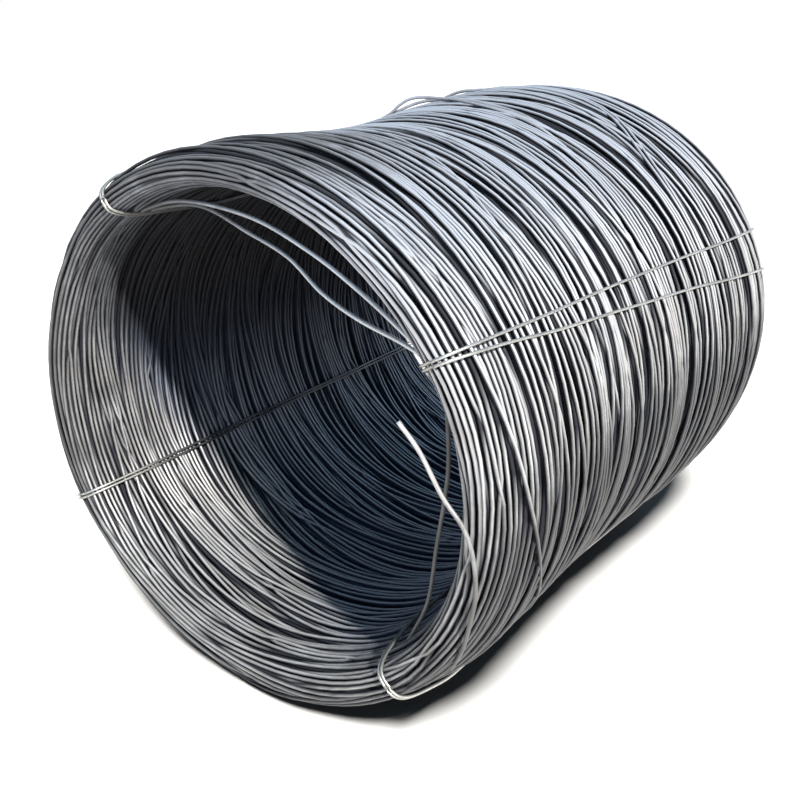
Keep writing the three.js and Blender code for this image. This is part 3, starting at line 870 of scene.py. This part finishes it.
def rod_steel(streaks, dust_shade_group):
    """Hot-rolled rod: thin blue-grey scale polished in streaks, dusting, and painted shade and sky tint."""
    material, tree, shader = new_material("rod_steel", ROD_METALLIC)
    marks = add_group(tree, streaks, Fineness=ROD_FINENESS)
    dust_shade_node = add_group(tree, dust_shade_group)
    tree.links.new(add_attribute(tree, "dust_and_shade"), dust_shade_node.inputs["Dust_and_shade"])
    laid = dust_shade_node.outputs["Dust_and_shade_share"]
    painted_shade, inner = add_attribute(tree, "painted_shade"), add_attribute(tree, "inner")
    place, _, _, height = add_place(tree)

    worn = add_math(tree, "ADD", add_math(tree, "MULTIPLY", marks.outputs["Streak"], 0.5),
                    add_math(tree, "MULTIPLY", add_attribute(tree, "tone"), 0.5))
    scale = add_mix(tree, worn, SCALE_DARK, SCALE_BRIGHT)
    patched = add_mix(tree, add_math(tree, "MULTIPLY", marks.outputs["Patch"], WARM_SHARE), scale, SCALE_WARM)
    # Painted sky light: the top and the bore tinted pale blue.
    sky_tint_share = add_math(tree, "MAXIMUM", inner, add_range(tree, height, *SKY_TINT_HEIGHTS))
    sky_tinted = add_mix(tree, sky_tint_share, patched, PAINTED_SKY_TINT)
    # Dusting, with painted shade where the mask lays it.
    dusted_and_shaded = add_mix(tree, add_math(tree, "MULTIPLY", laid, DUST_AND_SHADE_SHARE), sky_tinted, DUST_AND_SHADE_COLOUR)
    # Painted shade in the bore, dark blue low down and nearly black high up.
    in_bore = add_mix(tree, add_range(tree, height, *BORE_SHADE_HEIGHTS), BORE_LOW_SHADE, BORE_HIGH_SHADE)
    painted_shade_colour = add_mix(tree, inner, PAINTED_GAP_SHADE, in_bore)
    # Painted shade: dark under, between and beside the turns, and in the bore.
    tree.links.new(add_mix(tree, painted_shade, dusted_and_shaded, painted_shade_colour), shader.inputs["Base Color"])

    metallic_out_of_shade = add_range(tree, painted_shade, 0.0, 1.0, ROD_METALLIC, SHADE_METALLIC)
    dulling = add_math(tree, "MULTIPLY", laid, DUST_AND_SHADE_DULLING)
    tree.links.new(add_math(tree, "MULTIPLY", metallic_out_of_shade, add_math(tree, "SUBTRACT", 1.0, dulling)),
                   shader.inputs["Metallic"])
    rough = add_math(tree, "ADD", add_range(tree, worn, 0.0, 1.0, ROD_ROUGH, ROD_POLISHED),
                     add_math(tree, "MULTIPLY", painted_shade, SHADE_ROUGHER))
    rougher = add_math(tree, "MULTIPLY", laid, DUST_AND_SHADE_ROUGHER)
    tree.links.new(add_math(tree, "ADD", rough, rougher), shader.inputs["Roughness"])
    shader.inputs["Specular IOR Level"].default_value = ROD_SPECULAR

    grain = add_noise(tree, place, Scale=GRAIN_FINENESS, Detail=2.0)
    relief = add_math(tree, "ADD", marks.outputs["Streak"], add_math(tree, "MULTIPLY", grain, GRAIN_SHARE))
    bump = tree.nodes.new("ShaderNodeBump")
    bump.inputs["Strength"].default_value = GRAIN_STRENGTH
    bump.inputs["Distance"].default_value = GRAIN_HEIGHT
    tree.links.new(relief, bump.inputs["Height"])
    tree.links.new(bump.outputs["Normal"], shader.inputs["Normal"])
    return material


def wire_steel(streaks):
    """Bright drawn tie wire, with painted shade where it lies in the bore."""
    material, tree, shader = new_material("wire_steel", WIRE_METALLIC)
    marks = add_group(tree, streaks, Fineness=WIRE_FINENESS)
    worn = add_math(tree, "ADD", marks.outputs["Streak"], marks.outputs["Patch"])
    worn = add_math(tree, "MULTIPLY", worn, 0.5)
    bright = add_mix(tree, worn, WIRE_DULL, WIRE_BRIGHT)
    colour = add_mix(tree, add_attribute(tree, "inner"), bright, WIRE_PAINTED_SHADE)
    tree.links.new(colour, shader.inputs["Base Color"])
    tree.links.new(add_range(tree, worn, 0.0, 1.0, WIRE_ROUGH, WIRE_POLISHED), shader.inputs["Roughness"])
    return material


def buried_steel(streaks):
    """The turns that lie too deep to be seen one by one, painted near black as shade."""
    material, tree, shader = new_material("buried_steel", BURIED_METALLIC)
    marks = add_group(tree, streaks, Fineness=BURIED_FINENESS)
    colour = add_mix(tree, marks.outputs["Streak"], BURIED_DARK, BURIED_LIGHT)
    tree.links.new(colour, shader.inputs["Base Color"])
    shader.inputs["Roughness"].default_value = BURIED_ROUGH
    return material


# ---- the coil's pieces ----

def add_laid_turns(run, depth, shift, steel):
    """The turns that can be seen, in five pieces from the near lip round to the bore."""
    centres = outline.place(run, depth, azimuths) + shift
    outward = outline.place(run, depth - OUTWARD_STEP, azimuths) + shift - centres
    centres = within_box(centres, ROD_DIA / 2)
    rings = sweep_tubes(centres, outward, ROD_DIA / 2, ROD_SIDES)
    tones = np.random.default_rng(TONE_SEED).uniform(0, 1, TURN_COUNT)
    tones[:len(SLANTED_TURNS)] = 1.0
    inner = bore_shade_share(run)
    # Painted shade: under the neighbours, and in the bore, most at its top.
    painted_shade = 1 - (1 - bore_shade_round() * inner) * (1 - shade_under_neighbours(run, depth))
    dust_and_shade = dust_and_shade_at(run)
    order = np.argsort(run.mean(1) % outline.length)
    for number, members in enumerate(np.array_split(order, 5)):
        name = f"turns_{number + 1}"
        mesh = tube_mesh(name, rings[members], tones[members], painted_shade[members], inner[members],
                         dust_and_shade[members])
        piece = add_piece(name, mesh, steel)
        if number == 0:
            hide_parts("rod_coil")


def add_loose_turns(shift, steel):
    """The turns that hang loose at the near end, and those that stand up from the waist."""
    lines = np.array([loose_line(points, MEAN_RADIUS - COIL_WALL, -1, shift) for points in LOOSE_TURNS]
                     + [loose_line(points, MEAN_RADIUS, 1, shift) for points in RAISED_TURNS])
    lines = within_box(lines, ROD_DIA / 2)
    outward = (lines - shift) * (0, 1, 1)
    rings = sweep_tubes(lines, outward, ROD_DIA / 2, LOOSE_SIDES, closed=False)
    # Dusting and painted shade along each loose turn, from its first point to its last.
    dust_and_shade = np.linspace(LOOSE_DUST_SHADE_FROM, LOOSE_DUST_SHADE_TO, LOOSE_STEPS).T
    mesh = tube_mesh("loose_turns", rings, np.array(LOOSE_TONES), dust_and_shade=dust_and_shade, closed=False)
    add_piece("loose_turns", mesh, steel)


def add_buried_turns(shift, steel):
    """One closed surface under the laid turns, for all that lie deeper."""
    core_run = np.linspace(0, outline.length, BURIED_STEPS + 1)[:-1]
    core = outline.place(core_run[None, :], BAND_DEPTH, azimuths[:, None]) + shift
    mesh = tube_mesh("buried_turns", core[None], np.zeros(1))
    mesh.flip_normals()
    add_piece("buried_turns", mesh, steel)


def add_tie_wires(turns, shift, steel):
    """The eight tie wires, in four pairs."""
    for name, (near, far) in TIES.items():
        for i, side in enumerate((-1, 1)):
            sway = 2.0 * i + near[0]
            line = within_box(tie_wire(near[i], far[i], side, sway, turns, shift), WIRE_DIA / 2)
            outward = line - shift
            rings = sweep_tubes(line[None], outward[None], WIRE_DIA / 2, WIRE_SIDES, closed=False)
            node = f"tie_wire_{name}_{i + 1}"
            # Painted shade where the wire lies in the bore.
            inner = wire_bore_shade(line, shift)[None]
            mesh = tube_mesh(f"{name}_tie_{i + 1}", rings, np.ones(1), inner=inner, closed=False)
            piece = add_piece(f"{name}_tie_{i + 1}", mesh, steel)
            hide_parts(node)


# ---- view, floor and light ----

def add_camera():
    view = Vector((math.cos(CAMERA_PITCH) * math.cos(CAMERA_HEADING),
                   math.cos(CAMERA_PITCH) * math.sin(CAMERA_HEADING), -math.sin(CAMERA_PITCH)))
    level = view.to_track_quat("-Z", "Y").to_matrix()
    rolled = level @ Matrix.Rotation(CAMERA_ROLL, 3, "Z")
    camera = add_object("camera", bpy.data.cameras.new("camera"))
    camera.data.lens = CAMERA_LENS
    camera.data.sensor_width = CAMERA_SENSOR
    camera.matrix_world = Matrix.Translation(CAMERA_PLACE) @ rolled.to_4x4()
    scene.camera = camera


def seen_share(tree):
    """1 for what the camera sees, straight or in a reflection, and 0 for light that only fills."""
    path = tree.nodes.new("ShaderNodeLightPath").outputs
    mirrored = add_math(tree, "MAXIMUM", path["Is Glossy Ray"], path["Is Transmission Ray"])
    return add_math(tree, "MAXIMUM", path["Is Camera Ray"], mirrored)


def floor_paint():
    """Pale to the eye, and dull for the light that it throws back on the coil."""
    material, tree, dull = new_material("floor", 0.0)
    dull.inputs["Base Color"].default_value = FLOOR_DULL
    pale = tree.nodes.new("ShaderNodeBsdfPrincipled")
    pale.inputs["Base Color"].default_value = FLOOR_PALE
    both = tree.nodes.new("ShaderNodeMixShader")
    tree.links.new(seen_share(tree), both.inputs[0])
    for slot, shader in zip(both.inputs[1:], (dull, pale)):
        shader.inputs["Roughness"].default_value = FLOOR_ROUGH
        tree.links.new(shader.outputs[0], slot)
    tree.links.new(both.outputs[0], tree.nodes["Material Output"].inputs["Surface"])
    return material


def add_floor():
    mesh = bpy.data.meshes.new("floor")
    half = FLOOR_SIZE / 2
    corners = [(-half, -half, 0), (half, -half, 0), (half, half, 0), (-half, half, 0)]
    mesh.from_pydata(corners, [], [(0, 1, 2, 3)])
    mesh.materials.append(floor_paint())
    floor = add_object("floor", mesh)
    return floor


def add_sky():
    """A pale sky, blue overhead and brighter to the eye than the light it gives."""
    world = bpy.data.worlds.new("studio")
    scene.world = world
    world.use_nodes = True
    tree = world.node_tree
    sky = tree.nodes["Background"]
    *_, upward = add_place(tree, "Generated")
    overhead = add_range(tree, upward, 0.0, SKY_HIGH_FROM)
    tree.links.new(add_mix(tree, overhead, SKY_LOW, SKY_HIGH), sky.inputs["Color"])
    tree.links.new(add_range(tree, seen_share(tree), 0.0, 1.0, SKY_FILL, SKY_SEEN), sky.inputs["Strength"])


def add_sun(name, heading, height, softness, strength, colour, lit=None, unlit=None):
    """A far lamp, seen at a heading and a height in degrees. It lights only one thing, or all but one."""
    heading, height = math.radians(heading), math.radians(height)
    direction = Vector((math.cos(height) * math.cos(heading), math.cos(height) * math.sin(heading),
                        math.sin(height)))
    lamp = add_object(name, bpy.data.lights.new(name, "SUN"))
    lamp.data.angle = math.radians(softness)
    lamp.data.energy = strength
    lamp.data.color = colour
    lamp.matrix_world = direction.to_track_quat("Z", "Y").to_matrix().to_4x4()
    receivers = bpy.data.collections.new(f"receivers_of_{name}")
    receivers.objects.link(lit or unlit)
    receivers.collection_objects[0].light_linking.link_state = "INCLUDE" if lit else "EXCLUDE"
    lamp.light_linking.receiver_collection = receivers


shift = set_down()
turns = lay_turns()
streaks = rolling_streaks(float(shift[2]))
rod = rod_steel(streaks, dust_and_painted_shade())
add_laid_turns(*turns, shift, rod)
add_loose_turns(shift, rod)
add_buried_turns(shift, buried_steel(streaks))
add_tie_wires(turns, shift, wire_steel(streaks))

add_camera()
floor = add_floor()
add_sky()
add_sun("key", heading=251, height=39, softness=2.0, strength=6.1, colour=(1.0, 0.975, 0.935), unlit=floor)
add_sun("floor_lamp", heading=225, height=55, softness=11, strength=76.0, colour=(1.0, 1.0, 1.0), lit=floor)

scene.view_settings.view_transform = "Standard"
